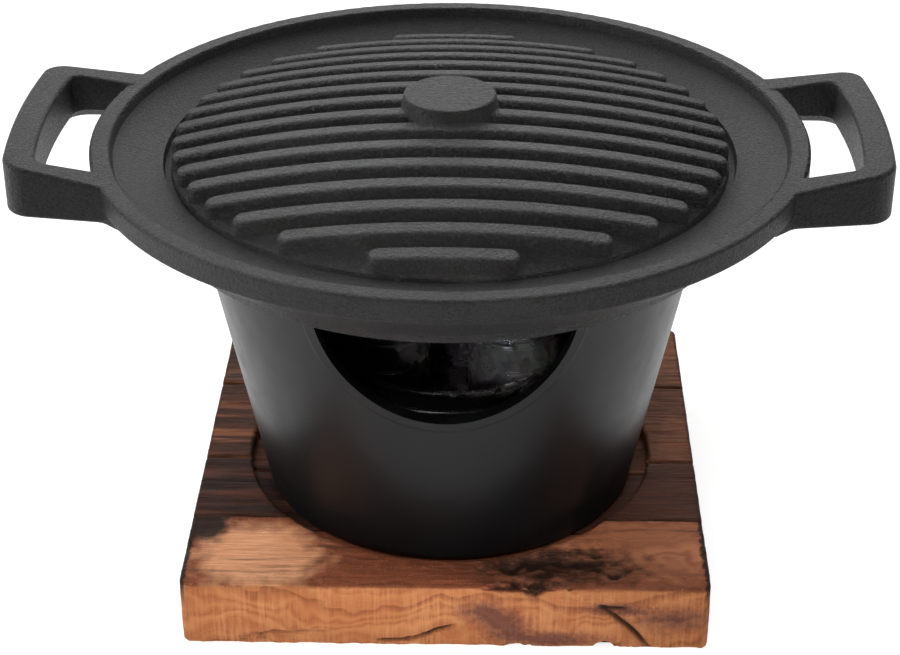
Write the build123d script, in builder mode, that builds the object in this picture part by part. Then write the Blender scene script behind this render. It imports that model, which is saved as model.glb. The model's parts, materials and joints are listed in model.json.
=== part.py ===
"""Table-top hibachi grill: a ribbed cast pan on a conical stove, a spirit burner inside, a wooden base.

Millimetres. +Z is up, X runs from handle to handle and -Y is the front, with the fire port.
The origin is at the middle of the base's underside.
"""
from build123d import *
from math import sqrt
import os

os.makedirs("parts", exist_ok=True)

# Shapes that are joined into one casting overlap by this much first
OVERLAP = 1.0

# Wooden base: boards glued edge to edge, with a round recess for the stove
BASE_SIDE = 139.6
BASE_THICK = 19.1
BASE_CORNER_R = 3.0
BOARD_SEAMS_Y = (-37.5, -8.0, 33.0)
RECESS_R = 56.8
RECESS_DEPTH = 4.6

# Stove: a conical casting with a half-moon fire port cut into its front
STOVE_Z = BASE_THICK - RECESS_DEPTH
STOVE_TOP_Z = 107.0
STOVE_FOOT_R = 51.7
STOVE_FLARE = 0.2012
STOVE_WALL = 3.5
STOVE_FLOOR = 3.5
STOVE_CORNER_R = 2.0
FOOT_RING_R = 44.0
FOOT_RING_DEPTH = 0.8
PORT_R = 33.5
PORT_Z = 98.2
PORT_BORDER = 2.8
PORT_RAISE = 0.7
PORT_BORDER_TOP_Z = 103.0
PORT_BORDER_ROUND = 0.4
SEAT_RING_R = 31.2
SEAT_RING_WIDTH = 2.4
SEAT_RING_HEIGHT = 1.6

# Grill pan: rim, sloping trough, narrow moat and a ribbed dome, on a conical skirt
PAN_R = 95.0
PAN_LIP_Z = 117.9
PAN_LIP_WIDTH = 5.6
PAN_LIP_SLOPE = 0.4
PAN_RIM_DROP = 5.9
PAN_RIM_ROUND = 0.9
PAN_WALL = 4.4
TROUGH_OUTER_Z = 115.2
TROUGH_INNER_R = 76.1
TROUGH_INNER_Z = 112.35
MOAT_R = 73.8
MOAT_FLOOR_Z = 110.2
MOAT_DRAFT = 0.4
DOME_SPHERE_R = 294.0
DOME_TOP_Z = 121.7
SKIRT_R = 78.0
SKIRT_Z = 99.2
SKIRT_FOOT_R = 76.6
SKIRT_FOOT_Z = 96.5
SKIRT_INNER_R = 72.4
SKIRT_WALL = 6.6
SHOULDER_R = 70.9
SHOULDER_Z = 104.5
SEAT_INNER_R = 66.0

# Ribs and centre boss of the pan
RIB_COUNT = 16
RIB_PITCH = 9.25
RIB_WIDTH = 5.4
RIB_HEIGHT = 4.0
RIB_ROUND = 1.3
BOSS_R = 12.2
BOSS_FOOT_R = 13.6
BOSS_TOP_Z = 128.4
BOSS_ROUND = 0.7

# Handles: two loops cast in one with the pan, their tops rising outwards
HANDLE_BOTTOM_Z = 107.6
HANDLE_REACH = 114.8
HANDLE_CORNER_X = 112.7
HANDLE_HALF_TIP = 33.6
HANDLE_HALF_ROOT = 37.2
HANDLE_HALF_FLARE = 44.3
HANDLE_MEET_X = 87.6
HANDLE_HIDDEN_X = 80.0
HANDLE_RISE = 0.175
HANDLE_OUTER_BAR = 7.6
HANDLE_GAP_HALF = 28.3
HANDLE_CORNER_R = 7.5
HANDLE_FLARE_R = 5.0
HANDLE_GAP_CORNER_R = 3.5
HANDLE_GAP_CHAMFER = 2.8
HANDLE_ROUND = 1.1

# Burner: a stepped steel pan, a tray in it and three fuel cups on the tray
STEEL = 0.8
STEEL_BEND_R = 0.25
BURNER_Z = STOVE_Z + STOVE_FLOOR
BURNER_DRUM_R = 30.0
BURNER_STEP_Z = 43.0
BURNER_DISH_R = 37.9
BURNER_RIM_Z = 52.8
BURNER_BEAD_R = 1.0
TRAY_R = 33.9
TRAY_RIM_Z = 56.2
CUP_COUNT = 3
CUP_CIRCLE_R = 20.4
CUP_R = 12.3
CUP_TOP_Z = 65.0
CUP_GROOVE_Z = 56.0
CUP_GROOVE = 0.6
CUP_BEAD_R = 0.8
CAP_R = 11.7
CAP_TOP_Z = 71.2
CAP_MOUTH_R = 6.5
CAP_SLEEVE_DROP = 5.0
CAP_SLEEVE_GAP = 0.2
CAP_JETS = 12
CAP_JET_R = 1.5
CAP_JET_Z = 67.7
WICK_R = 9.6
GAUZE_THICK = 1.0


def stove_radius(z):
    """Outer radius of the stove's cone at a height."""
    return STOVE_FOOT_R + STOVE_FLARE * (z - STOVE_Z)


def skirt_radius(z):
    """Outer radius of the pan's conical skirt at a height."""
    rim_bottom_z = PAN_LIP_Z - PAN_RIM_DROP
    return SKIRT_R + (z - SKIRT_Z) * (PAN_R - SKIRT_R) / (rim_bottom_z - SKIRT_Z)


def dome_z(top_z, radius):
    """Height of a shallow spherical dome at a distance from its middle."""
    return top_z - DOME_SPHERE_R + sqrt(DOME_SPHERE_R**2 - radius**2)


def around_gap(edge):
    """Whether an edge of the handle bounds its finger gap."""
    middle = edge.center()
    return middle.X < HANDLE_REACH - HANDLE_OUTER_BAR / 2 and abs(middle.Y) < HANDLE_GAP_HALF + OVERLAP


# ---------------------------------------------------------------- wooden base
half_side = BASE_SIDE / 2
board_names = ("base_board_front", "base_board_second", "base_board_third", "base_board_rear")
board_edges_y = (-half_side, *BOARD_SEAMS_Y, half_side)
for index, board_name in enumerate(board_names):
    front_y = board_edges_y[index]
    back_y = board_edges_y[index + 1]
    with BuildPart() as board:
        with BuildSketch(Plane.XY):
            with Locations((0, (front_y + back_y) / 2)):
                Rectangle(BASE_SIDE, back_y - front_y)
        extrude(amount=BASE_THICK)
        upright_edges = board.edges().filter_by(Axis.Z)
        corners = upright_edges.filter_by(lambda edge: abs(edge.center().Y) > half_side - BASE_CORNER_R)
        if corners:
            fillet(corners, BASE_CORNER_R)
        with BuildSketch(Plane.XY.offset(STOVE_Z)):
            Circle(RECESS_R)
        extrude(amount=RECESS_DEPTH, mode=Mode.SUBTRACT)
        board.part.label = board_name
    export_step(board.part, f"parts/{board_name}.step")

# ---------------------------------------------------------------- stove body
with BuildPart() as port_border:
    with BuildSketch(Plane.XZ):
        with Locations((0, PORT_Z)):
            Circle(PORT_R + PORT_BORDER)
            Circle(PORT_R - OVERLAP, mode=Mode.SUBTRACT)
    extrude(amount=2 * STOVE_FOOT_R)
    with BuildSketch(Plane.XZ):
        with BuildLine():
            Polyline(
                (stove_radius(STOVE_Z) - OVERLAP, STOVE_Z),
                (stove_radius(STOVE_Z) + PORT_RAISE, STOVE_Z),
                (stove_radius(PORT_BORDER_TOP_Z) + PORT_RAISE, PORT_BORDER_TOP_Z),
                (stove_radius(PORT_BORDER_TOP_Z) - OVERLAP, PORT_BORDER_TOP_Z),
                close=True,
            )
        make_face()
    revolve(axis=Axis.Z, mode=Mode.INTERSECT)
    front_face = port_border.faces().filter_by(GeomType.CONE).sort_by(Axis.Y)[0]
    fillet(front_face.edges(), PORT_BORDER_ROUND)

with BuildPart() as stove_body:
    with BuildSketch(Plane.XZ) as stove_profile:
        with BuildLine():
            Polyline(
                (0, STOVE_Z + FOOT_RING_DEPTH),
                (FOOT_RING_R, STOVE_Z + FOOT_RING_DEPTH),
                (FOOT_RING_R + FOOT_RING_DEPTH, STOVE_Z),
                (STOVE_FOOT_R, STOVE_Z),
                (stove_radius(STOVE_TOP_Z), STOVE_TOP_Z),
                (stove_radius(STOVE_TOP_Z) - STOVE_WALL, STOVE_TOP_Z),
                (stove_radius(BURNER_Z) - STOVE_WALL, BURNER_Z),
                (SEAT_RING_R + SEAT_RING_WIDTH, BURNER_Z),
                (SEAT_RING_R + SEAT_RING_WIDTH, BURNER_Z + SEAT_RING_HEIGHT),
                (SEAT_RING_R, BURNER_Z + SEAT_RING_HEIGHT),
                (SEAT_RING_R, BURNER_Z),
                (0, BURNER_Z),
                close=True,
            )
        make_face()
        foot_corner = stove_profile.vertices().sort_by_distance((STOVE_FOOT_R, STOVE_Z))[0]
        fillet(foot_corner, STOVE_CORNER_R)
    revolve(axis=Axis.Z)
    add(port_border.part)
    with BuildSketch(Plane.XZ):
        with Locations((0, PORT_Z)):
            Circle(PORT_R)
    extrude(amount=2 * STOVE_FOOT_R, mode=Mode.SUBTRACT)
    stove_body.part.label = "stove_body"
export_step(stove_body.part, "parts/stove_body.step")

# ---------------------------------------------------------------- grill pan
rim_bottom_z = PAN_LIP_Z - PAN_RIM_DROP
lip_inner_r = PAN_R - PAN_LIP_WIDTH
rib_end_r = MOAT_R - RIB_WIDTH / 2

with BuildPart() as ribs:
    with BuildSketch(Plane.XY.offset(MOAT_FLOOR_Z)):
        for row in range(RIB_COUNT):
            rib_y = (row - (RIB_COUNT - 1) / 2) * RIB_PITCH
            with Locations((0, rib_y)):
                SlotCenterToCenter(2 * sqrt(rib_end_r**2 - rib_y**2), RIB_WIDTH)
    extrude(amount=2 * (DOME_TOP_Z - MOAT_FLOOR_Z))
    with BuildSketch(Plane.XZ):
        with BuildLine():
            beyond_r = MOAT_R + OVERLAP
            top_z = DOME_TOP_Z + RIB_HEIGHT
            foot_z = DOME_TOP_Z - OVERLAP
            Line((0, foot_z), (0, top_z))
            ThreePointArc(
                (0, top_z),
                (MOAT_R / 2, dome_z(top_z, MOAT_R / 2)),
                (beyond_r, dome_z(top_z, beyond_r)),
            )
            Line((beyond_r, dome_z(top_z, beyond_r)), (beyond_r, dome_z(foot_z, beyond_r)))
            ThreePointArc(
                (beyond_r, dome_z(foot_z, beyond_r)),
                (MOAT_R / 2, dome_z(foot_z, MOAT_R / 2)),
                (0, foot_z),
            )
        make_face()
    revolve(axis=Axis.Z, mode=Mode.INTERSECT)
    top_faces = [face for face in ribs.faces() if face.normal_at().Z > 0.5]
    fillet([edge for face in top_faces for edge in face.edges()], RIB_ROUND)

with BuildPart() as handles:
    with BuildSketch(Plane.XY.offset(HANDLE_BOTTOM_Z)) as loop_outline:
        with BuildLine():
            Polyline(
                (HANDLE_CORNER_X, HANDLE_HALF_TIP),
                (HANDLE_MEET_X, HANDLE_HALF_ROOT),
                (HANDLE_HIDDEN_X, HANDLE_HALF_FLARE),
                (HANDLE_HIDDEN_X, -HANDLE_HALF_FLARE),
                (HANDLE_MEET_X, -HANDLE_HALF_ROOT),
                (HANDLE_CORNER_X, -HANDLE_HALF_TIP),
            )
            ThreePointArc(
                (HANDLE_CORNER_X, -HANDLE_HALF_TIP),
                (HANDLE_REACH, 0),
                (HANDLE_CORNER_X, HANDLE_HALF_TIP),
            )
        make_face()
        fillet(loop_outline.vertices().group_by(Axis.X)[-1], HANDLE_CORNER_R)
        outline_points = loop_outline.vertices()
        fillet(outline_points.filter_by(lambda point: abs(point.X - HANDLE_MEET_X) < OVERLAP), HANDLE_FLARE_R)
    extrude(amount=2 * (PAN_LIP_Z - HANDLE_BOTTOM_Z))
    top_plane = Plane(
        origin=(HANDLE_MEET_X, 0, PAN_LIP_Z),
        x_dir=(1, 0, HANDLE_RISE),
        z_dir=(-HANDLE_RISE, 0, 1),
    )
    split(bisect_by=top_plane, keep=Keep.BOTTOM)
    with BuildSketch(Plane.XY.offset(HANDLE_BOTTOM_Z)) as gap_outline:
        with BuildLine():
            gap_x = HANDLE_CORNER_X - HANDLE_OUTER_BAR
            Line((HANDLE_MEET_X, -HANDLE_GAP_HALF), (gap_x, -HANDLE_GAP_HALF))
            ThreePointArc(
                (gap_x, -HANDLE_GAP_HALF),
                (HANDLE_REACH - HANDLE_OUTER_BAR, 0),
                (gap_x, HANDLE_GAP_HALF),
            )
            Line((gap_x, HANDLE_GAP_HALF), (HANDLE_MEET_X, HANDLE_GAP_HALF))
            Line((HANDLE_MEET_X, HANDLE_GAP_HALF), (HANDLE_MEET_X, -HANDLE_GAP_HALF))
        make_face()
        fillet(gap_outline.vertices().group_by(Axis.X)[-1], HANDLE_GAP_CORNER_R)
    extrude(amount=2 * (PAN_LIP_Z - HANDLE_BOTTOM_Z), mode=Mode.SUBTRACT)
    gap_edges = handles.edges().group_by(Axis.Z)[0].filter_by(around_gap)
    chamfer(gap_edges, HANDLE_GAP_CHAMFER)
    lower_edges = handles.edges().group_by(Axis.Z)[0].filter_by(lambda edge: not around_gap(edge))
    upper_edges = handles.faces().filter_by(lambda face: face.normal_at().Z > 0.5).edges()
    sharp_edges = ShapeList([*lower_edges, *upper_edges])
    fillet(sharp_edges.filter_by(lambda edge: edge.center().X > HANDLE_MEET_X - OVERLAP), HANDLE_ROUND)
    with BuildSketch(Plane.XY.offset(TROUGH_INNER_Z)):
        Circle(lip_inner_r + OVERLAP)
    extrude(amount=2 * (PAN_LIP_Z - TROUGH_INNER_Z), mode=Mode.SUBTRACT)
    with BuildSketch(Plane.XY.offset(HANDLE_BOTTOM_Z)):
        Circle(skirt_radius(HANDLE_BOTTOM_Z) - OVERLAP)
    extrude(amount=TROUGH_INNER_Z - HANDLE_BOTTOM_Z, mode=Mode.SUBTRACT)
    mirror(about=Plane.YZ)

with BuildPart() as grill_pan:
    with BuildSketch(Plane.XZ) as pan_profile:
        with BuildLine():
            Polyline(
                (0, DOME_TOP_Z - PAN_WALL),
                (0, BOSS_TOP_Z),
                (BOSS_R, BOSS_TOP_Z),
                (BOSS_FOOT_R, dome_z(DOME_TOP_Z, BOSS_FOOT_R)),
            )
            ThreePointArc(
                (BOSS_FOOT_R, dome_z(DOME_TOP_Z, BOSS_FOOT_R)),
                (MOAT_R / 2, dome_z(DOME_TOP_Z, MOAT_R / 2)),
                (MOAT_R, dome_z(DOME_TOP_Z, MOAT_R)),
            )
            Polyline(
                (MOAT_R, dome_z(DOME_TOP_Z, MOAT_R)),
                (MOAT_R + MOAT_DRAFT, MOAT_FLOOR_Z),
                (TROUGH_INNER_R - MOAT_DRAFT, MOAT_FLOOR_Z),
                (TROUGH_INNER_R, TROUGH_INNER_Z),
                (lip_inner_r - PAN_LIP_SLOPE, TROUGH_OUTER_Z),
                (lip_inner_r + PAN_LIP_SLOPE, PAN_LIP_Z),
                (PAN_R, PAN_LIP_Z),
                (PAN_R, rim_bottom_z),
                (SKIRT_R, SKIRT_Z),
                (SKIRT_FOOT_R, SKIRT_FOOT_Z),
                (SKIRT_INNER_R, SKIRT_FOOT_Z),
                (SKIRT_INNER_R, SKIRT_Z),
                (skirt_radius(SHOULDER_Z) - SKIRT_WALL, SHOULDER_Z),
                (SHOULDER_R, SHOULDER_Z),
                (SHOULDER_R, STOVE_TOP_Z),
                (SEAT_INNER_R, STOVE_TOP_Z),
                (SEAT_INNER_R - OVERLAP, dome_z(DOME_TOP_Z - PAN_WALL, SEAT_INNER_R - OVERLAP)),
            )
            ThreePointArc(
                (SEAT_INNER_R - OVERLAP, dome_z(DOME_TOP_Z - PAN_WALL, SEAT_INNER_R - OVERLAP)),
                (SEAT_INNER_R / 2, dome_z(DOME_TOP_Z - PAN_WALL, SEAT_INNER_R / 2)),
                (0, DOME_TOP_Z - PAN_WALL),
            )
        make_face()
        boss_corner = pan_profile.vertices().sort_by_distance((BOSS_R, BOSS_TOP_Z))[0]
        fillet(boss_corner, BOSS_ROUND)
    revolve(axis=Axis.Z)
    round_edges = grill_pan.edges().filter_by(GeomType.CIRCLE)
    fillet(round_edges.filter_by(lambda edge: edge.radius > lip_inner_r), PAN_RIM_ROUND)
    add(ribs.part)
    add(handles.part)
    grill_pan.part.label = "grill_pan"
export_step(grill_pan.part, "parts/grill_pan.step")

# ---------------------------------------------------------------- burner pan and tray
with BuildPart() as burner_pan:
    with BuildSketch(Plane.XZ) as dish_profile:
        with BuildLine():
            Polyline(
                (0, BURNER_Z),
                (BURNER_DRUM_R, BURNER_Z),
                (BURNER_DRUM_R, BURNER_STEP_Z),
                (BURNER_DISH_R, BURNER_STEP_Z),
                (BURNER_DISH_R, BURNER_RIM_Z),
                (BURNER_DISH_R - STEEL, BURNER_RIM_Z),
                (BURNER_DISH_R - STEEL, BURNER_STEP_Z + STEEL),
                (BURNER_DRUM_R - STEEL, BURNER_STEP_Z + STEEL),
                (BURNER_DRUM_R - STEEL, BURNER_Z + STEEL),
                (0, BURNER_Z + STEEL),
                close=True,
            )
        make_face()
        bends = dish_profile.vertices().filter_by(
            lambda point: point.X > STEEL and point.Y < BURNER_RIM_Z - STEEL
        )
        fillet(bends, STEEL_BEND_R)
        with Locations((BURNER_DISH_R, BURNER_RIM_Z)):
            Circle(BURNER_BEAD_R)
    revolve(axis=Axis.Z)
    burner_pan.part.label = "burner_pan"
export_step(burner_pan.part, "parts/burner_pan.step")

tray_z = BURNER_STEP_Z + STEEL
with BuildPart() as burner_tray:
    with BuildSketch(Plane.XZ) as tray_profile:
        with BuildLine():
            Polyline(
                (0, tray_z),
                (TRAY_R, tray_z),
                (TRAY_R, TRAY_RIM_Z),
                (TRAY_R - STEEL, TRAY_RIM_Z),
                (TRAY_R - STEEL, tray_z + STEEL),
                (0, tray_z + STEEL),
                close=True,
            )
        make_face()
        bends = tray_profile.vertices().filter_by(
            lambda point: point.X > STEEL and point.Y < TRAY_RIM_Z - STEEL
        )
        fillet(bends, STEEL_BEND_R)
        with Locations((TRAY_R, TRAY_RIM_Z)):
            Circle(BURNER_BEAD_R)
    revolve(axis=Axis.Z)
    burner_tray.part.label = "burner_tray"
export_step(burner_tray.part, "parts/burner_tray.step")

# ---------------------------------------------------------------- fuel cups, caps, wicks and gauzes
cup_z = tray_z + STEEL
cap_sleeve_r = CUP_R - STEEL - CAP_SLEEVE_GAP
cap_sleeve_z = CUP_TOP_Z - CAP_SLEEVE_DROP
gauze_z = cap_sleeve_z - GAUZE_THICK
cup_places = PolarLocations(CUP_CIRCLE_R, CUP_COUNT, start_angle=90)
for number, place in enumerate(cup_places, start=1):
    cup_plane = Plane(origin=place.position)
    cup_section = Plane(origin=place.position, x_dir=(1, 0, 0), z_dir=(0, -1, 0))
    cup_axis = Axis(place.position, (0, 0, 1))

    with BuildPart() as burner_cup:
        with BuildSketch(cup_section) as cup_profile:
            with BuildLine():
                Polyline(
                    (0, cup_z),
                    (CUP_R, cup_z),
                    (CUP_R, CUP_GROOVE_Z - CUP_GROOVE),
                    (CUP_R - CUP_GROOVE, CUP_GROOVE_Z),
                    (CUP_R, CUP_GROOVE_Z + CUP_GROOVE),
                    (CUP_R, CUP_TOP_Z),
                    (CUP_R - STEEL, CUP_TOP_Z),
                    (CUP_R - STEEL, CUP_GROOVE_Z + CUP_GROOVE),
                    (CUP_R - STEEL - CUP_GROOVE, CUP_GROOVE_Z),
                    (CUP_R - STEEL, CUP_GROOVE_Z - CUP_GROOVE),
                    (CUP_R - STEEL, cup_z + STEEL),
                    (0, cup_z + STEEL),
                    close=True,
                )
            make_face()
            bends = cup_profile.vertices().filter_by(
                lambda point: point.X > STEEL and point.Y < CUP_TOP_Z - STEEL
            )
            fillet(bends, STEEL_BEND_R)
            with Locations((CUP_R, CUP_TOP_Z - CUP_BEAD_R)):
                Circle(CUP_BEAD_R)
        revolve(axis=cup_axis)
        burner_cup.part.label = f"burner_cup_{number}"
    export_step(burner_cup.part, f"parts/burner_cup_{number}.step")

    with BuildPart() as burner_cap:
        with BuildSketch(cup_section) as cap_profile:
            with BuildLine():
                Polyline(
                    (cap_sleeve_r, cap_sleeve_z),
                    (cap_sleeve_r, CUP_TOP_Z),
                    (CUP_R, CUP_TOP_Z),
                    (CUP_R, CUP_TOP_Z + STEEL),
                    (CAP_R, CUP_TOP_Z + STEEL),
                    (CAP_R, CAP_TOP_Z),
                    (CAP_MOUTH_R, CAP_TOP_Z),
                    (CAP_MOUTH_R, CAP_TOP_Z - STEEL),
                    (CAP_R - STEEL, CAP_TOP_Z - STEEL),
                    (cap_sleeve_r - STEEL, CUP_TOP_Z),
                    (cap_sleeve_r - STEEL, cap_sleeve_z),
                    close=True,
                )
            make_face()
            fillet(cap_profile.vertices(), STEEL_BEND_R)
        revolve(axis=cup_axis)
        jet_start = cup_plane.offset(CAP_JET_Z)
        for jet in PolarLocations(0, CAP_JETS):
            jet_direction = jet.x_axis.direction
            with BuildSketch(Plane(origin=jet_start.origin, z_dir=jet_direction)):
                Circle(CAP_JET_R)
            extrude(amount=2 * CUP_R, mode=Mode.SUBTRACT)
        burner_cap.part.label = f"burner_cap_{number}"
    export_step(burner_cap.part, f"parts/burner_cap_{number}.step")

    with BuildPart() as wick:
        with BuildSketch(cup_plane.offset(cup_z + STEEL)):
            Circle(WICK_R)
        extrude(amount=gauze_z - cup_z - STEEL)
        wick.part.label = f"wick_{number}"
    export_step(wick.part, f"parts/wick_{number}.step")

    with BuildPart() as wick_gauze:
        with BuildSketch(cup_plane.offset(gauze_z)):
            Circle(cap_sleeve_r)
        extrude(amount=GAUZE_THICK)
        wick_gauze.part.label = f"wick_gauze_{number}"
    export_step(wick_gauze.part, f"parts/wick_gauze_{number}.step")
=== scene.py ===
"""Looks of the table-top hibachi grill: cast pan, painted stove, enamelled burner and charred wooden base."""
import json
import math

import bmesh
import bpy
import numpy as np
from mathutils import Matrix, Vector

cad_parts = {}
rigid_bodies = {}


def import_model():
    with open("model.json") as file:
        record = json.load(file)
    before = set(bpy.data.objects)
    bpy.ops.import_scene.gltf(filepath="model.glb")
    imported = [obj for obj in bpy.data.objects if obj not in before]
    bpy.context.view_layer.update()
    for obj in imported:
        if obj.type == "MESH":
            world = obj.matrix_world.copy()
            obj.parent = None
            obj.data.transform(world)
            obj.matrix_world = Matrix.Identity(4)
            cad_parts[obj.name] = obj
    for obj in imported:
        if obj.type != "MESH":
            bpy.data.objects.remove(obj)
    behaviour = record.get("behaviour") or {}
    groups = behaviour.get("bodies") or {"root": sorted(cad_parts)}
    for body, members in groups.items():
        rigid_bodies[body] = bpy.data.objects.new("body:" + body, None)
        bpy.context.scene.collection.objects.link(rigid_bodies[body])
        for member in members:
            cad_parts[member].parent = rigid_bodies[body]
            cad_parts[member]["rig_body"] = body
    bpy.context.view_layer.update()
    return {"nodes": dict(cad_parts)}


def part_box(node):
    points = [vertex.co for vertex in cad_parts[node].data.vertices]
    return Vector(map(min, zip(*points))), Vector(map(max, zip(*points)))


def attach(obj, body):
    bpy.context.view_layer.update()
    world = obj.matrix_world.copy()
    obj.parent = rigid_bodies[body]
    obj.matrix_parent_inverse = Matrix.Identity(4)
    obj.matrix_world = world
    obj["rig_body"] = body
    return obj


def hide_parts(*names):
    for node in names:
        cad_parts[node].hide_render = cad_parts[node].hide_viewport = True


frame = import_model()

MM = 0.001
scene = bpy.context.scene
nodes = frame["nodes"]

# Camera
CAMERA_LENS_MM = 84.7
CAMERA_AIM = Vector((0, 0, 0.050))
CAMERA_PLACE = Vector((0.0108, -0.5162, 0.3484))
CAMERA_SHIFT_Y = 0.0262

# Studio: the brightness of the room, the glow and half-width of the floor, and then each softbox's name,
# place, size, power and beam in degrees
ROOM_LIGHT = 0.15
FLOOR_GLOW = 0.78
FLOOR_REACH = 4.0
LIGHTS = (
    ("back", (0.0, 1.3, 0.85), 1.3, 15, 180),
    ("top", (0.0, -0.1, 1.2), 0.8, 6, 180),
    ("left", (-1.0, 0.4, 0.40), 0.6, 8, 180),
    ("right", (1.0, 0.4, 0.45), 0.5, 1.2, 180),
    ("front", (-0.25, -0.9, 1.1), 0.4, 6, 180),
    ("port", (-0.35, -1.15, 0.48), 0.12, 0.07, 6),
)

# The base's seams and faces and the pan's ribbed and boss radii, in millimetres
base_low, base_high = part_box("base_board_front")
SEAMS_Y = [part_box(name)[1].y / MM for name in ("base_board_front", "base_board_second", "base_board_third")]
HALF_SIDE = base_high.x / MM
BASE_TOP = base_high.z / MM
BASE_FRONT = base_low.y / MM
RIBBED_R = 73.8
BOSS_R = 12.2

# The even face sizes of the detailed meshes, in millimetres
BOARD_CELL = 0.62
WICK_CELL = 0.6

# The woven gauze, in millimetres
GAUZE_PITCH = 1.5
WIRE_R = 0.20
WIRE_WAVE = 0.24


# ---------------------------------------------------------------- numbers
def value_noise(points, seed):
    """Smooth noise from 0 to 1 with cells of size 1."""
    cell = np.floor(points).astype(np.int64)
    part = points - cell
    part = part * part * (3 - 2 * part)
    total = np.zeros(len(points))
    for corner in np.ndindex(2, 2, 2):
        x, y, z = (cell + corner).T
        mixed = (x * 374761393 + y * 668265263 + z * 1274126177 + seed * 1442695041) & 0xFFFFFFFF
        mixed = ((mixed ^ (mixed >> 13)) * 1103515245) & 0xFFFFFFFF
        mixed = ((mixed ^ (mixed >> 15)) * 2246822519) & 0xFFFFFFFF
        weight = np.prod(np.where(corner, part, 1 - part), axis=1)
        total += weight * ((mixed >> 8) & 0xFFFF) / 0xFFFF
    return total


def rough(points, cell, seed, octaves=3):
    """Fractal noise about zero, with its largest lumps one cell across. A cell may differ by axis."""
    size = np.array(cell, float) * np.ones(3)
    total = np.zeros(len(points))
    share = 1.0
    for octave in range(octaves):
        total += share * (value_noise(points / size, seed + octave) - 0.5)
        size = size / 2
        share /= 2
    return total


def smooth_step(value, low, high):
    """0 below low, 1 above high, smooth between."""
    part = np.clip((value - low) / (high - low), 0, 1)
    return part * part * (3 - 2 * part)


# ---------------------------------------------------------------- meshes
def link(name, mesh):
    """A new object for a mesh."""
    piece = bpy.data.objects.new(name, mesh)
    scene.collection.objects.link(piece)
    return piece


def even_copy(node, name, cell):
    """A copy of a CAD node's shape, in even faces of one cell, that stands for the node."""
    welded = bmesh.new()
    welded.from_mesh(nodes[node].data)
    bmesh.ops.remove_doubles(welded, verts=welded.verts, dist=1e-7)
    mesh = bpy.data.meshes.new(name)
    welded.to_mesh(mesh)
    welded.free()
    piece = link(name, mesh)
    remesh = piece.modifiers.new("even", "REMESH")
    remesh.mode = "VOXEL"
    remesh.voxel_size = cell
    graph = bpy.context.evaluated_depsgraph_get()
    piece.data = bpy.data.meshes.new_from_object(piece.evaluated_get(graph))
    piece.modifiers.clear()
    piece.data.polygons.foreach_set("use_smooth", [True] * len(piece.data.polygons))
    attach(piece, nodes[node]["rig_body"])
    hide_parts(node)
    return piece


def points_of(piece):
    """The piece's points and normals as arrays, in metres."""
    mesh = piece.data
    points = np.zeros(len(mesh.vertices) * 3)
    normals = np.zeros(len(mesh.vertices) * 3)
    mesh.vertices.foreach_get("co", points)
    mesh.vertex_normals.foreach_get("vector", normals)
    return points.reshape(-1, 3), normals.reshape(-1, 3)


def carve(piece, depth):
    """Moves each point inwards along its normal by its depth, and keeps the depth in mm as worn."""
    points, normals = points_of(piece)
    points -= normals * depth[:, None]
    piece.data.vertices.foreach_set("co", points.ravel())
    worn = piece.data.attributes.new("worn", "FLOAT", "POINT")
    worn.data.foreach_set("value", depth / MM)
    piece.data.update()


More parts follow.
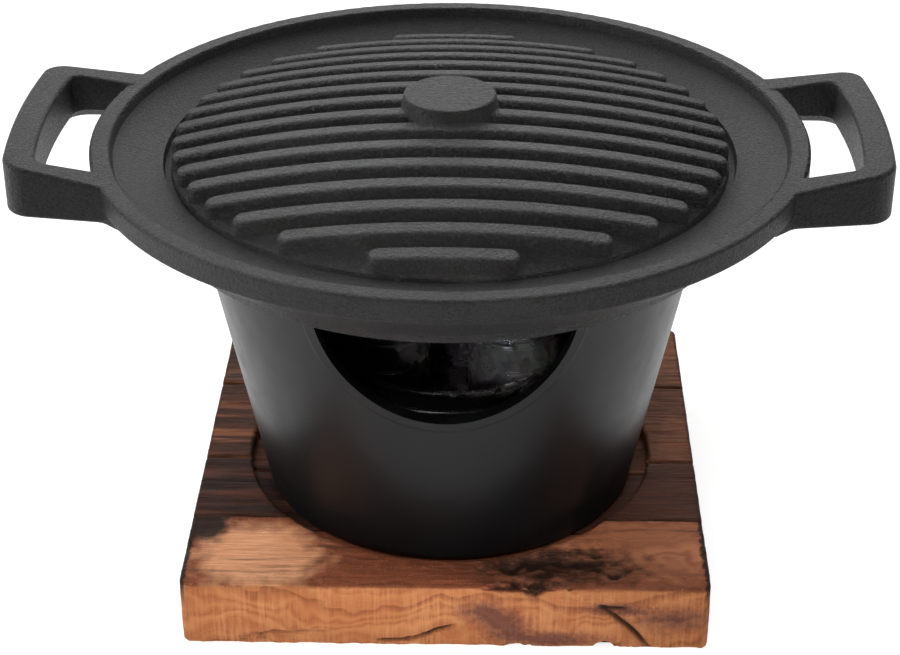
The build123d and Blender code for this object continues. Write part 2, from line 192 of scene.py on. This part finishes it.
# ---------------------------------------------------------------- materials
class Recipe:
    """A node material whose texture space is the row frame, in millimetres."""

    def __init__(self, name):
        self.material = bpy.data.materials.new(name)
        self.material.use_nodes = True
        self.tree = self.material.node_tree
        self.shader = self.tree.nodes["Principled BSDF"]
        place = self.node("ShaderNodeTexCoord").outputs["Object"]
        self.place = self.vector("SCALE", place, scale=1000.0)

    def node(self, kind, **settings):
        made = self.tree.nodes.new(kind)
        for key, value in settings.items():
            setattr(made, key, value)
        return made

    def feed(self, socket, value):
        if isinstance(value, bpy.types.NodeSocket):
            self.tree.links.new(value, socket)
        else:
            socket.default_value = value

    def vector(self, operation, first, second=(0, 0, 0), scale=1.0):
        made = self.node("ShaderNodeVectorMath", operation=operation)
        self.feed(made.inputs[0], first)
        if operation == "SCALE":
            self.feed(made.inputs["Scale"], scale)
        elif operation != "LENGTH":
            self.feed(made.inputs[1], second)
        return made.outputs["Value" if operation == "LENGTH" else "Vector"]

    def stretch(self, factors, place=None):
        """The texture space scaled by axis: a factor under 1 makes longer features."""
        return self.vector("MULTIPLY", place or self.place, factors)

    def axis(self, name, place=None):
        made = self.node("ShaderNodeSeparateXYZ")
        self.feed(made.inputs[0], place or self.place)
        return made.outputs[name]

    def noise(self, size, detail=2.0, place=None, distortion=0.0, roughness=0.5):
        """Noise from 0 to 1, about size millimetres across."""
        made = self.node("ShaderNodeTexNoise")
        self.feed(made.inputs["Vector"], place or self.place)
        made.inputs["Scale"].default_value = 1.0 / size
        made.inputs["Detail"].default_value = detail
        made.inputs["Roughness"].default_value = roughness
        made.inputs["Distortion"].default_value = distortion
        return made.outputs["Fac"]

    def cells(self, size):
        """Distance to the nearest of scattered points, which are about size millimetres apart."""
        made = self.node("ShaderNodeTexVoronoi")
        self.feed(made.inputs["Vector"], self.place)
        made.inputs["Scale"].default_value = 1.0 / size
        return made.outputs["Distance"]

    def math(self, operation, first, second=0.0):
        made = self.node("ShaderNodeMath", operation=operation)
        self.feed(made.inputs[0], first)
        self.feed(made.inputs[1], second)
        return made.outputs[0]

    def add(self, *terms):
        total = terms[0]
        for term in terms[1:]:
            total = self.math("ADD", total, term)
        return total

    def spread(self, value, low, high, out_low=0.0, out_high=1.0):
        """The value's range low to high, spread over out_low to out_high and held there."""
        made = self.node("ShaderNodeMapRange", clamp=True)
        self.feed(made.inputs["Value"], value)
        made.inputs["From Min"].default_value = low
        made.inputs["From Max"].default_value = high
        made.inputs["To Min"].default_value = out_low
        made.inputs["To Max"].default_value = out_high
        return made.outputs["Result"]

    def mix(self, share, first, second, blend="MIX"):
        made = self.node("ShaderNodeMix", data_type="RGBA", blend_type=blend)
        self.feed(made.inputs[0], share)
        self.feed(made.inputs[6], (*first, 1) if isinstance(first, tuple) else first)
        self.feed(made.inputs[7], (*second, 1) if isinstance(second, tuple) else second)
        return made.outputs[2]

    def bump(self, height, distance, below=None):
        """A bump whose height of 1 stands distance millimetres tall, on top of the bump below."""
        made = self.node("ShaderNodeBump")
        made.inputs["Distance"].default_value = distance * MM
        self.feed(made.inputs["Height"], height)
        if below is not None:
            self.feed(made.inputs["Normal"], below)
        return made.outputs[0]

    def facing(self, name):
        """How far the surface faces along one of the frame's axes, from -1 to 1."""
        return self.axis(name, self.node("ShaderNodeTexCoord").outputs["Normal"])

    def patch(self, centre, size, ragged=0.35, edge=0.25):
        """1 inside an uneven ellipsoid of half-sizes size about centre, 0 outside it."""
        near = self.vector("SUBTRACT", self.place, centre)
        near = self.vector("LENGTH", self.vector("DIVIDE", near, size))
        wander = self.math("SUBTRACT", self.noise(min(size) / 2, detail=4), 0.5)
        wander = self.math("MULTIPLY", wander, 2 * ragged)
        return self.spread(self.math("ADD", near, wander), 1 - edge, 1 + edge, 1, 0)

    def both(self, first, second):
        return self.math("MULTIPLY", first, second)

    def finish(self, **inputs):
        for key, value in inputs.items():
            self.feed(self.shader.inputs[key.replace("_", " ")], value)
        return self.material


def casting_material():
    """Matt black sand casting: fine grain all over, coarser glossier grain on the ribs with painted glints on
    its crests, and small pits.
    """
    make = Recipe("cast_black")
    radius = make.vector("LENGTH", make.vector("MULTIPLY", make.place, (1, 1, 0)))
    inside_ribs = make.spread(radius, RIBBED_R, RIBBED_R + 1, 1, 0)
    ribbed = make.both(inside_ribs, make.spread(radius, BOSS_R, BOSS_R + 1))
    fine_grain = make.spread(make.noise(0.70, detail=3, roughness=0.7), 0.34, 0.66)
    coarse_grain = make.spread(make.noise(0.80, detail=3, roughness=0.7), 0.36, 0.64)
    lumps = make.noise(3.5, detail=3)
    some = make.spread(make.noise(20, detail=2), 0.50, 0.56)
    pits = make.both(make.spread(make.cells(4.2), 0.07, 0.12, 1, 0), some)
    normal = make.bump(lumps, 0.22)
    normal = make.bump(pits, -0.3, normal)
    normal = make.bump(fine_grain, 0.36, normal)
    normal = make.bump(make.both(coarse_grain, ribbed), 0.60, normal)
    # Light grey specks on the crests of the coarse rib grain are painted glints, standing in for the sparkle
    # of the grain under the lights.
    painted_glints = make.both(make.spread(coarse_grain, 0.80, 1.0), ribbed)
    colour = make.mix(fine_grain, (0.001, 0.001, 0.001), (0.018, 0.018, 0.0184))
    colour = make.mix(painted_glints, colour, (0.065, 0.065, 0.066))
    colour = make.mix(pits, colour, (0.001, 0.001, 0.001))
    shine = make.spread(make.noise(0.8, detail=3), 0.35, 0.65, 0.34, 0.48)
    gloss = make.math("ADD", 0.24, make.both(ribbed, 0.26))
    return make.finish(Base_Color=colour, Roughness=shine, Normal=normal, Specular_IOR_Level=gloss)


def paint_material():
    """Satin black heat-resistant paint on a smooth casting."""
    make = Recipe("stove_paint")
    orange_peel = make.noise(0.9, detail=2)
    waves = make.noise(14, detail=2)
    normal = make.bump(waves, 0.05)
    normal = make.bump(orange_peel, 0.006, normal)
    shine = make.spread(make.noise(6, detail=4), 0.3, 0.7, 0.30, 0.38)
    colour = make.mix(waves, (0.0025, 0.0025, 0.0027), (0.0045, 0.0045, 0.0048))
    return make.finish(Base_Color=colour, Roughness=shine, Normal=normal, Specular_IOR_Level=0.22)


def enamel_material():
    """Gloss black enamel on pressed steel."""
    make = Recipe("burner_enamel")
    ripple = make.noise(5, detail=2)
    normal = make.bump(ripple, 0.012)
    shine = make.spread(make.noise(3, detail=4), 0.3, 0.7, 0.22, 0.32)
    colour = make.mix(ripple, (0.018, 0.018, 0.018), (0.026, 0.026, 0.026))
    make.finish(Base_Color=colour, Roughness=shine, Normal=normal)
    return make.finish(Coat_Weight=0.6, Coat_Roughness=0.12)


def cotton_material():
    """Packed cotton fibre."""
    make = Recipe("wick_cotton")
    fibres = make.noise(0.35, detail=4, distortion=1.5)
    normal = make.bump(fibres, 0.3)
    colour = make.mix(fibres, (0.45, 0.41, 0.34), (0.80, 0.77, 0.70))
    return make.finish(Base_Color=colour, Roughness=0.95, Normal=normal)


def gauze_material():
    """Heat-stained steel wire."""
    make = Recipe("gauze_steel")
    stain = make.noise(2.5, detail=3)
    colour = make.mix(stain, (0.25, 0.23, 0.22), (0.48, 0.46, 0.43))
    return make.finish(Base_Color=colour, Roughness=0.42, Metallic=1.0)


class Timber(Recipe):
    """Softwood with its grain along X: rings about a pith line, fibres, saw marks and charring."""

    def __init__(self, name, pith, shift):
        super().__init__(name)
        moved = self.vector("ADD", self.place, (shift, 0, 0))
        self.long_grain = self.stretch((0.05, 1, 1), moved)
        self.patches = self.noise(16, detail=4, place=self.stretch((0.4, 1, 1), moved), roughness=0.6)
        self.streaks = self.noise(4.5, detail=4, place=self.stretch((0.09, 1, 1), moved), roughness=0.6)
        across = self.vector("SUBTRACT", self.stretch((0.30, 1, 1), moved), (0, *pith))
        ring = self.add(self.vector("LENGTH", across), self.both(self.noise(20, detail=3, place=moved), 22.0))
        rings = self.node("ShaderNodeCombineXYZ")
        self.feed(rings.inputs[0], ring)
        self.rings = self.spread(self.noise(2.4, detail=2, place=rings.outputs[0]), 0.3, 0.7)
        self.ring_lines = self.spread(self.noise(3.4, detail=1, place=rings.outputs[0]), 0.62, 0.68)
        self.fibre = self.spread(self.noise(0.55, detail=3, place=self.long_grain), 0.3, 0.7)
        self.top = self.spread(self.facing("Z"), 0.4, 0.8)
        self.front = self.spread(self.facing("Y"), -0.8, -0.4, 1, 0)
        saw_lines = self.noise(0.7, detail=3, place=self.stretch((1, 1, 0.06)))
        strong = self.spread(self.noise(14, detail=2), 0.35, 0.65, 0.25, 1.0)
        self.saw_marks = self.both(self.both(self.spread(saw_lines, 0.42, 0.62), self.front), strong)
        self.worn = self.node("ShaderNodeAttribute", attribute_name="worn").outputs["Fac"]

    def end_char(self, wide):
        """Black scorching along the two ends of a board, with an uneven edge."""
        reach = self.math("ABSOLUTE", self.axis("X"))
        near_end = self.spread(reach, HALF_SIDE - wide, HALF_SIDE)
        return self.spread(self.add(near_end, self.noise(3.0, detail=4, roughness=0.65)), 0.95, 1.15)

    def near_seam(self, seam, wide):
        """1 on a seam between boards, falling to 0 over a width."""
        away = self.math("ABSOLUTE", self.math("SUBTRACT", self.axis("Y"), seam))
        away = self.math("ADD", away, self.both(self.noise(3, detail=3, place=self.long_grain), wide))
        return self.spread(away, wide * 0.5, wide * 1.1, 1, 0)

    def dress_up(self, colour, seams=()):
        """Adds the dark seams, the bump and the gloss, and returns the finished material."""
        for seam in seams:
            strength = self.spread(self.noise(9, detail=2), 0.35, 0.6, 0.25, 0.9)
            colour = self.mix(self.both(self.near_seam(seam, 0.8), strength), colour, (0.010, 0.007, 0.006))
        colour = self.mix(self.spread(self.worn, 0.45, 1.3, 0, 0.85), colour, (0.016, 0.009, 0.007))
        normal = self.bump(self.rings, 0.12)
        normal = self.bump(self.fibre, 0.10, normal)
        normal = self.bump(self.saw_marks, 0.08, normal)
        normal = self.bump(self.noise(0.5, detail=3), 0.07, normal)
        shine = self.spread(self.fibre, 0.0, 1.0, 0.50, 0.66)
        return self.finish(Base_Color=colour, Roughness=shine, Normal=normal, Specular_IOR_Level=0.04)


def front_board_material():
    """The front board: a fresh-sawn tan front face and a browned top, with a bark knot and dark stains."""
    make = Timber("wood_front", pith=(-96, 58), shift=0)
    sawn = make.mix(make.rings, (0.47, 0.19, 0.078), (0.27, 0.085, 0.030))
    sawn = make.mix(make.both(make.ring_lines, 0.8), sawn, (0.12, 0.032, 0.012))
    sawn = make.mix(make.both(make.saw_marks, 0.45), sawn, (0.62, 0.31, 0.145))
    sawn = make.mix(make.spread(make.patches, 0.35, 0.7, 0, 0.35), sawn, (0.30, 0.085, 0.028))
    stains = make.add(
        make.patch((10, BASE_FRONT, 11.5), (6, 6, 3.0), ragged=0.7, edge=0.6),
        make.patch((16, BASE_FRONT, 7), (6, 6, 3.4), ragged=0.7, edge=0.6),
        make.patch((27, BASE_FRONT, 2.5), (12, 6, 2.4), ragged=0.7, edge=0.6),
        make.patch((45, BASE_FRONT, 12.8), (7, 6, 1.7), ragged=0.7, edge=0.6),
        make.patch((60, BASE_FRONT, 9.5), (9, 6, 3.0), ragged=0.9, edge=0.8),
    )
    sawn = make.mix(make.both(make.spread(stains, 0, 1), 0.80), sawn, (0.075, 0.028, 0.030))
    browned = make.mix(make.rings, (0.21, 0.058, 0.026), (0.070, 0.018, 0.009))
    browned = make.mix(make.both(make.fibre, 0.35), browned, (0.33, 0.115, 0.055))
    tan = make.patch((-50, -56, BASE_TOP), (16, 14, 9), ragged=0.5, edge=0.3)
    tan_colour = make.mix(make.fibre, (0.80, 0.42, 0.235), (0.54, 0.23, 0.110))
    browned = make.mix(tan, browned, tan_colour)
    warm = make.patch((55, -50, BASE_TOP), (26, 15, 9), ragged=0.5, edge=0.5)
    warm_colour = make.mix(make.rings, (0.62, 0.25, 0.120), (0.34, 0.115, 0.058))
    browned = make.mix(make.both(warm, 0.7), browned, warm_colour)
    flecks = make.spread(make.noise(0.9, detail=3, roughness=0.7), 0.60, 0.66)
    browned = make.mix(make.both(flecks, 0.35), browned, (0.42, 0.24, 0.15))
    browned = make.mix(make.spread(make.streaks, 0.58, 0.70, 0, 0.75), browned, (0.030, 0.014, 0.011))
    bark = make.patch((29, -59, BASE_TOP), (24, 8.5, 6), ragged=0.7, edge=0.35)
    crust = make.spread(make.noise(4.5, detail=4, place=make.stretch((0.5, 1, 1)), roughness=0.6), 0.46, 0.64)
    bark_colour = make.mix(crust, (0.020, 0.012, 0.010), (0.26, 0.105, 0.058))
    browned = make.mix(make.both(bark, 0.8), browned, bark_colour)
    colour = make.mix(make.top, sawn, browned)
    scorched = make.both(make.end_char(3.5), make.spread(make.axis("Z"), BASE_TOP - 9, BASE_TOP - 1))
    back_left = make.patch((-66, -40, BASE_TOP), (7, 9, 6), ragged=0.6)
    charred = make.spread(make.add(scorched, back_left), 0, 1, 0, 0.92)
    colour = make.mix(charred, colour, (0.014, 0.011, 0.010))
    return make.dress_up(colour, SEAMS_Y[:1])


def dark_board_material(name, pith, shift, light, brown, greyness, seams):
    """A rear board: browned and charred in stripes, with a grey bloom where the char is brushed thin."""
    make = Timber(name, pith, shift)
    dark = tuple(part * 0.40 for part in brown)
    colour = make.mix(make.rings, brown, dark)
    colour = make.mix(make.spread(make.streaks, 0.50, 0.36), colour, light)
    colour = make.mix(make.spread(make.patches, 0.50, 0.62, 0, greyness), colour, (0.042, 0.040, 0.041))
    colour = make.mix(make.spread(make.streaks, 0.52, 0.58, 0, 0.9), colour, (0.012, 0.009, 0.009))
    colour = make.mix(make.both(make.fibre, 0.30), colour, light)
    drift = make.add(make.axis("X"), make.both(make.noise(14, detail=3), 60.0))
    colour = make.mix(make.spread(drift, 40, 100, 0, 0.8), colour, make.mix(make.fibre, light, brown))
    colour = make.mix(make.both(make.end_char(2.0), 0.5), colour, (0.010, 0.009, 0.009))
    return make.dress_up(colour, seams)


# ---------------------------------------------------------------- the object
def groove(points, start, end, wide, deep):
    """Depth of a crack that runs from start to end in the XZ plane and is deepest at its middle."""
    start = np.array(start, float)
    run = np.array(end, float) - start
    across = points[:, [0, 2]] - start
    along = np.clip(across @ run / (run @ run), 0, 1)
    away = np.linalg.norm(across - along[:, None] * run, axis=1)
    return deep * np.clip(1 - away / wide, 0, 1) * np.sqrt(np.clip(4 * along * (1 - along), 0, 1))


def hollow(points, centre, size, deep, ragged):
    """Depth of an uneven hollow about centre. ragged is the noise that breaks up its outline."""
    near = np.linalg.norm((points - centre) / size, axis=1) + ragged
    return deep * smooth_step(near, 1.0, 0.4)


def front_board_damage(points, normals):
    """Depth of the front board's knot, chips and cracks, in millimetres."""
    wander = rough(points, 3.0, seed=71, octaves=4)
    bend = np.column_stack([points[:, 0], points[:, 1], points[:, 2] + 1.6 * rough(points, 9, seed=5)])
    top = np.clip(normals[:, 2], 0, 1)
    crust = np.abs(rough(points, (9.0, 4.5, 4.5), seed=77, octaves=3))
    knot = hollow(points, (31, -58.5, BASE_TOP), (24, 9, 8), 1.0, wander)
    depth = top * knot * (0.2 + 4.6 * crust)
    depth += hollow(points, (23, BASE_FRONT, BASE_TOP), (8, 4, 2.6), 1.9, wander)
    depth += hollow(points, (13, BASE_FRONT, BASE_TOP), (5, 3, 1.6), 0.9, wander)
    depth += hollow(points, (42, BASE_FRONT, 0), (6, 4, 1.9), 1.3, wander)
    depth += hollow(points, (19, BASE_FRONT, 0), (4, 3, 1.2), 0.6, wander)
    cracks = groove(bend, (40.7, 13.4), (54.5, 0.5), 1.0, 2.2)
    cracks += groove(bend, (-18.9, 0.8), (-7, 2.6), 0.9, 1.5)
    cracks += groove(bend, (-8, 2.4), (3, 7.4), 0.9, 1.6)
    cracks += groove(bend, (-56, 2.6), (-26, 5.0), 0.8, 1.0)
    cracks += groove(bend, (40, 13.6), (48, 12.2), 1.1, 1.6)
    return depth + cracks * np.clip(-normals[:, 1], 0, 1)


def make_boards(materials):
    """The base's four boards, brushed along the grain and worn at their edges."""
    for index, (node, material) in enumerate(materials.items()):
        board = even_copy(node, node + "_timber", BOARD_CELL * MM)
        points, normals = points_of(board)
        points = points / MM
        along = rough(points, (45, 1.3, 1.3), seed=20 + index)
        skin = rough(points, 4, seed=40 + index, octaves=4)
        top = np.clip(normals[:, 2], 0, 1)
        edge = 1 - np.max(np.abs(normals), axis=1)
        depth = 0.16 + 0.18 * skin + 0.30 * along * top + edge * (0.9 + 1.6 * skin)
        if index == 0:
            depth += front_board_damage(points, normals)
        carve(board, np.maximum(depth, 0) * MM)
        board.data.materials.append(material)


def make_wick(number, material):
    """A wick of packed cotton, lumpy where the fibre bulges."""
    wick = even_copy(f"wick_{number}", f"wick_{number}_cotton", WICK_CELL * MM)
    points, _ = points_of(wick)
    carve(wick, (0.45 + 0.9 * rough(points / MM, 2.6, seed=60 + number)) * MM)
    wick.data.materials.append(material)


def make_gauze(number, material):
    """A disc of woven wire over a wick."""
    node = f"wick_gauze_{number}"
    low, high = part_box(node)
    middle = (low + high) / 2
    reach = (high.x - low.x) / 2
    pitch = GAUZE_PITCH * MM
    wire_r = WIRE_R * MM
    wave = WIRE_WAVE * MM
    curve = bpy.data.curves.new(node + "_wires", "CURVE")
    curve.dimensions = "3D"
    curve.bevel_depth = wire_r
    curve.bevel_resolution = 1
    rows = int((reach - 2 * wire_r) / pitch)
    for crosswise in (False, True):
        for row in range(-rows, rows + 1):
            half = math.sqrt((reach - wire_r) ** 2 - (row * pitch) ** 2)
            steps = max(4, int(8 * half / pitch))
            wire = curve.splines.new("POLY")
            wire.points.add(steps)
            for step, point in enumerate(wire.points):
                along = half * (2 * step / steps - 1)
                lift = wave * math.cos(math.pi * (along / pitch + row)) * (-1 if crosswise else 1)
                x, y = (row * pitch, along) if crosswise else (along, row * pitch)
                point.co = (middle.x + x, middle.y + y, middle.z + lift, 1)
    drawn = bpy.data.objects.new(node + "_wires", curve)
    mesh = bpy.data.meshes.new_from_object(drawn)
    bpy.data.objects.remove(drawn)
    gauze = link(node + "_mesh", mesh)
    gauze.data.materials.clear()
    gauze.data.materials.append(material)
    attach(gauze, "burner")
    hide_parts(node)


def dress(prefix, material):
    """Gives a CAD node, or each of a numbered set, its finish."""
    for name, node in nodes.items():
        if name.startswith(prefix):
            node.data.materials.clear()
            node.data.materials.append(material)


# ---------------------------------------------------------------- studio
def make_camera():
    camera = bpy.data.objects.new("camera", bpy.data.cameras.new("camera"))
    scene.collection.objects.link(camera)
    camera.location = CAMERA_PLACE
    camera.rotation_mode = "QUATERNION"
    camera.rotation_quaternion = (CAMERA_AIM - CAMERA_PLACE).to_track_quat("-Z", "Y")
    camera.data.lens = CAMERA_LENS_MM
    camera.data.shift_y = CAMERA_SHIFT_Y
    scene.camera = camera


def make_light(name, place, size, power, beam):
    """A square softbox, aimed at the grill."""
    lamp = bpy.data.lights.new(name, "AREA")
    lamp.size = size
    lamp.energy = power
    lamp.spread = math.radians(beam)
    light = bpy.data.objects.new(name, lamp)
    scene.collection.objects.link(light)
    light.location = place
    light.rotation_mode = "QUATERNION"
    light.rotation_quaternion = (CAMERA_AIM - Vector(place)).to_track_quat("-Z", "Y")


def make_floor():
    """A pale floor that glows, so that only a faint shadow shows on it."""
    mesh = bpy.data.meshes.new("floor")
    reach = FLOOR_REACH
    corners = [(-reach, -reach, 0), (reach, -reach, 0), (reach, reach, 0), (-reach, reach, 0)]
    mesh.from_pydata(corners, [], [(0, 1, 2, 3)])
    floor = link("floor", mesh)
    make = Recipe("floor_white")
    white = (1, 1, 1, 1)
    grey = (0.4, 0.4, 0.4, 1)
    glowing = make.finish(Base_Color=grey, Roughness=0.9, Emission_Color=white, Emission_Strength=FLOOR_GLOW)
    mesh.materials.append(glowing)


def make_world():
    """A dim studio with a pale backdrop."""
    world = bpy.data.worlds.new("studio")
    world.use_nodes = True
    scene.world = world
    tree = world.node_tree
    background = tree.nodes["Background"]
    background.inputs["Color"].default_value = (1, 1, 1, 1)
    seen = tree.nodes.new("ShaderNodeLightPath").outputs["Is Camera Ray"]
    strength = tree.nodes.new("ShaderNodeMapRange")
    strength.inputs["To Min"].default_value = ROOM_LIGHT
    strength.inputs["To Max"].default_value = 1.0
    tree.links.new(seen, strength.inputs["Value"])
    tree.links.new(strength.outputs["Result"], background.inputs["Strength"])


make_camera()
make_world()
make_floor()
for light in LIGHTS:
    make_light(*light)
scene.view_settings.view_transform = "Standard"

make_boards({
    "base_board_front": front_board_material(),
    "base_board_second": dark_board_material(
        "wood_second", (-30, -40), 90, (0.11, 0.038, 0.022), (0.036, 0.015, 0.011), 0.4, SEAMS_Y[:2]
    ),
    "base_board_third": dark_board_material(
        "wood_third", (20, -50), 170, (0.28, 0.105, 0.050), (0.055, 0.021, 0.013), 0.5, SEAMS_Y[1:]
    ),
    "base_board_rear": dark_board_material(
        "wood_rear", (60, -30), 250, (0.34, 0.14, 0.072), (0.060, 0.022, 0.014), 0.4, SEAMS_Y[2:]
    ),
})
dress("grill_pan", casting_material())
dress("stove_body", paint_material())
dress("burner_", enamel_material())
cotton = cotton_material()
steel_wire = gauze_material()
for number in (1, 2, 3):
    make_wick(number, cotton)
    make_gauze(number, steel_wire)
